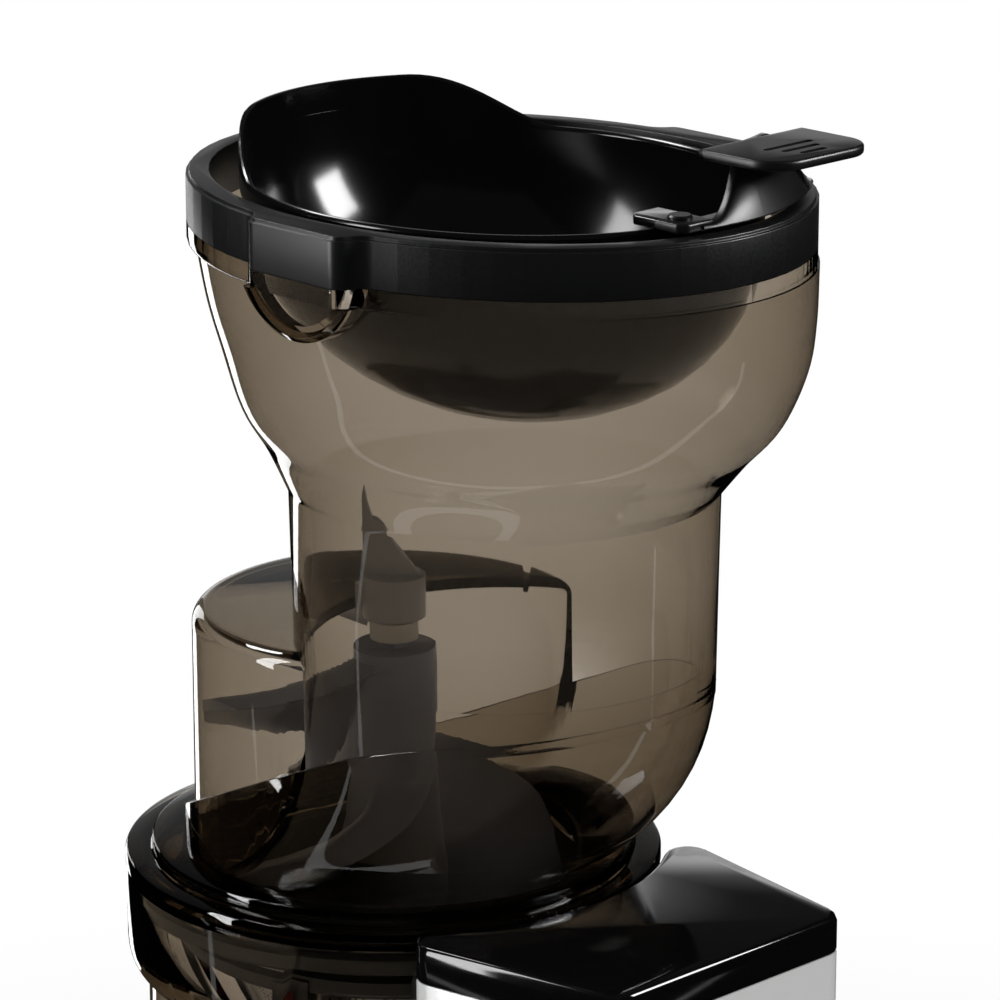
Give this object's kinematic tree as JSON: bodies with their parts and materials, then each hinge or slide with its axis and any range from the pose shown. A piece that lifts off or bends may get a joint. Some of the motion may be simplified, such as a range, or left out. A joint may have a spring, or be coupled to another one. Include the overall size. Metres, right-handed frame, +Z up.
{
  "type": "cold press juicer",
  "caption": "Vertical slow juicer: motor base with a rear column, juice bowl with auger, strainer and brush, and a wide hopper with a tilting feed tray.",
  "frame": {"origin": "centre of the bounding box on the table, under the middle of the base", "axes": "+Z up, +Y to the rear column, +X to the pulp spout"},
  "size_m": [0.232, 0.2168, 0.481],
  "materials": {
    "white_body": "gloss",
    "gloss_black": "gloss",
    "satin_black": "matte",
    "graphite": "satin",
    "rubber": "matte",
    "steel": "satin",
    "copper": "satin",
    "board": "satin",
    "nylon": "satin",
    "smoke": "gloss",
    "seal_grey": "matte",
    "wiper_red": "matte"
  },
  "bodies": {
    "base": {"base_shell": "white_body", "bottom_cover": "graphite", "rubber_feet": "rubber", "bottom_screws": "steel", "column_cover": "gloss_black", "bowl_seat": "satin_black", "motor_plate": "steel", "motor_plate_screws": "steel", "stator_core": "steel", "stator_windings": "copper", "end_bell": "steel", "motor_bolts": "steel", "motor_bearings": "steel", "gear_housing": "graphite", "ring_gear": "steel", "output_bearing": "copper", "shaft_seal": "rubber", "control_board": "board", "run_capacitor": "graphite", "switch_frame": "satin_black", "cord_inlet": "satin_black", "interlock_switch": "graphite", "interlock_spring": "steel"},
    "rotor": {"rotor": "steel", "sun_gear": "steel", "cooling_fan": "graphite"},
    "first_carrier": {"first_carrier": "steel"},
    "drive_shaft": {"drive_shaft": "steel"},
    "rocker": {"power_rocker": "gloss_black"},
    "plunger": {"interlock_plunger": "nylon"},
    "bowl": {"juicing_bowl": "smoke", "bowl_shaft_seal": "seal_grey", "pulp_seal": "seal_grey", "cap_pin": "steel", "strainer_frame": "graphite", "strainer_mesh": "steel"},
    "auger": {"auger": "graphite", "auger_bush": "nylon"},
    "idler": {"brush_idler": "nylon"},
    "brush": {"brush_holder": "graphite", "brush_wipers": "wiper_red"},
    "spout_cap": {"spout_cap": "smoke", "cap_gasket": "seal_grey"},
    "lid": {"lid": "smoke", "lid_gasket": "seal_grey", "splitter_bracket": "graphite", "bracket_screw": "steel", "hopper_ring": "satin_black"},
    "feed_tray": {"feed_tray": "gloss_black"},
    "first_planet_a": {"first_planet_a": "nylon"},
    "first_planet_b": {"first_planet_b": "nylon"},
    "first_planet_c": {"first_planet_c": "nylon"},
    "second_planet_a": {"second_planet_a": "nylon"},
    "second_planet_b": {"second_planet_b": "nylon"},
    "second_planet_c": {"second_planet_c": "nylon"}
  },
  "joints": [
    {"name": "rotor_spin", "type": "hinge", "parent": "base", "child": "rotor", "pos_m": [0, -0.0244, 0.08], "axis": [0, 0, 1], "continuous": true},
    {"name": "first_carrier_spin", "type": "hinge", "parent": "base", "child": "first_carrier", "pos_m": [0, -0.0244, 0.1262], "axis": [0, 0, 1], "continuous": true},
    {"name": "first_planet_a_spin", "type": "hinge", "parent": "first_carrier", "child": "first_planet_a", "pos_m": [0.015, -0.0244, 0.1176], "axis": [0, 0, 1], "continuous": true},
    {"name": "first_planet_b_spin", "type": "hinge", "parent": "first_carrier", "child": "first_planet_b", "pos_m": [-0.0075, -0.01141, 0.1176], "axis": [0, 0, 1], "continuous": true},
    {"name": "first_planet_c_spin", "type": "hinge", "parent": "first_carrier", "child": "first_planet_c", "pos_m": [-0.0075, -0.03739, 0.1176], "axis": [0, 0, 1], "continuous": true},
    {"name": "drive_shaft_spin", "type": "hinge", "parent": "base", "child": "drive_shaft", "pos_m": [0, -0.0244, 0.16], "axis": [0, 0, 1], "continuous": true},
    {"name": "second_planet_a_spin", "type": "hinge", "parent": "drive_shaft", "child": "second_planet_a", "pos_m": [0.015, -0.0244, 0.1298], "axis": [0, 0, 1], "continuous": true},
    {"name": "second_planet_b_spin", "type": "hinge", "parent": "drive_shaft", "child": "second_planet_b", "pos_m": [-0.0075, -0.01141, 0.1298], "axis": [0, 0, 1], "continuous": true},
    {"name": "second_planet_c_spin", "type": "hinge", "parent": "drive_shaft", "child": "second_planet_c", "pos_m": [-0.0075, -0.03739, 0.1298], "axis": [0, 0, 1], "continuous": true},
    {"name": "power_rock", "type": "hinge", "parent": "base", "child": "rocker", "pos_m": [0.05645, 0.04149, 0.1], "axis": [-0.374, 0.9274, 0], "range_deg": [-12, 12]},
    {"name": "interlock_press", "type": "slide", "parent": "base", "child": "plunger", "axis": [0, 0, -1], "range_m": [0, 0.0025], "stiffness_N_per_m": 400, "springref_m": -0.002, "deforming": ["interlock_spring"]},
    {"name": "bowl_lift", "type": "slide", "parent": "base", "child": "bowl", "axis": [0, 0, 1], "range_m": [0, 0.06]},
    {"name": "auger_spin", "type": "hinge", "parent": "bowl", "child": "auger", "pos_m": [0, -0.0244, 0.2], "axis": [0, 0, 1], "continuous": true},
    {"name": "idler_spin", "type": "hinge", "parent": "bowl", "child": "idler", "pos_m": [-0.037, -0.0244, 0.1763], "axis": [0, 0, 1], "continuous": true},
    {"name": "brush_spin", "type": "hinge", "parent": "bowl", "child": "brush", "pos_m": [0, -0.0244, 0.1763], "axis": [0, 0, 1], "continuous": true},
    {"name": "spout_cap_swing", "type": "hinge", "parent": "bowl", "child": "spout_cap", "pos_m": [-0.108, -0.0244, 0.1955], "axis": [0, 1, 0], "range_deg": [0, 100]},
    {"name": "lid_lift", "type": "slide", "parent": "bowl", "child": "lid", "axis": [0, 0, 1], "range_m": [0, 0.1]},
    {"name": "tray_tilt", "type": "hinge", "parent": "lid", "child": "feed_tray", "pos_m": [0, 0.0201, 0.4564], "axis": [1, 0, 0], "range_deg": [0, 70]}
  ],
  "couplings": [
    {"joint": "first_carrier_spin", "follows": "rotor_spin", "ratio": 0.2},
    {"joint": "first_planet_a_spin", "follows": "rotor_spin", "ratio": -0.53333},
    {"joint": "first_planet_b_spin", "follows": "rotor_spin", "ratio": -0.53333},
    {"joint": "first_planet_c_spin", "follows": "rotor_spin", "ratio": -0.53333},
    {"joint": "drive_shaft_spin", "follows": "rotor_spin", "ratio": 0.04},
    {"joint": "second_planet_a_spin", "follows": "rotor_spin", "ratio": -0.10667},
    {"joint": "second_planet_b_spin", "follows": "rotor_spin", "ratio": -0.10667},
    {"joint": "second_planet_c_spin", "follows": "rotor_spin", "ratio": -0.10667},
    {"joint": "auger_spin", "follows": "rotor_spin", "ratio": 0.04},
    {"joint": "idler_spin", "follows": "rotor_spin", "ratio": -0.037895},
    {"joint": "brush_spin", "follows": "rotor_spin", "ratio": -0.012857}
  ]
}
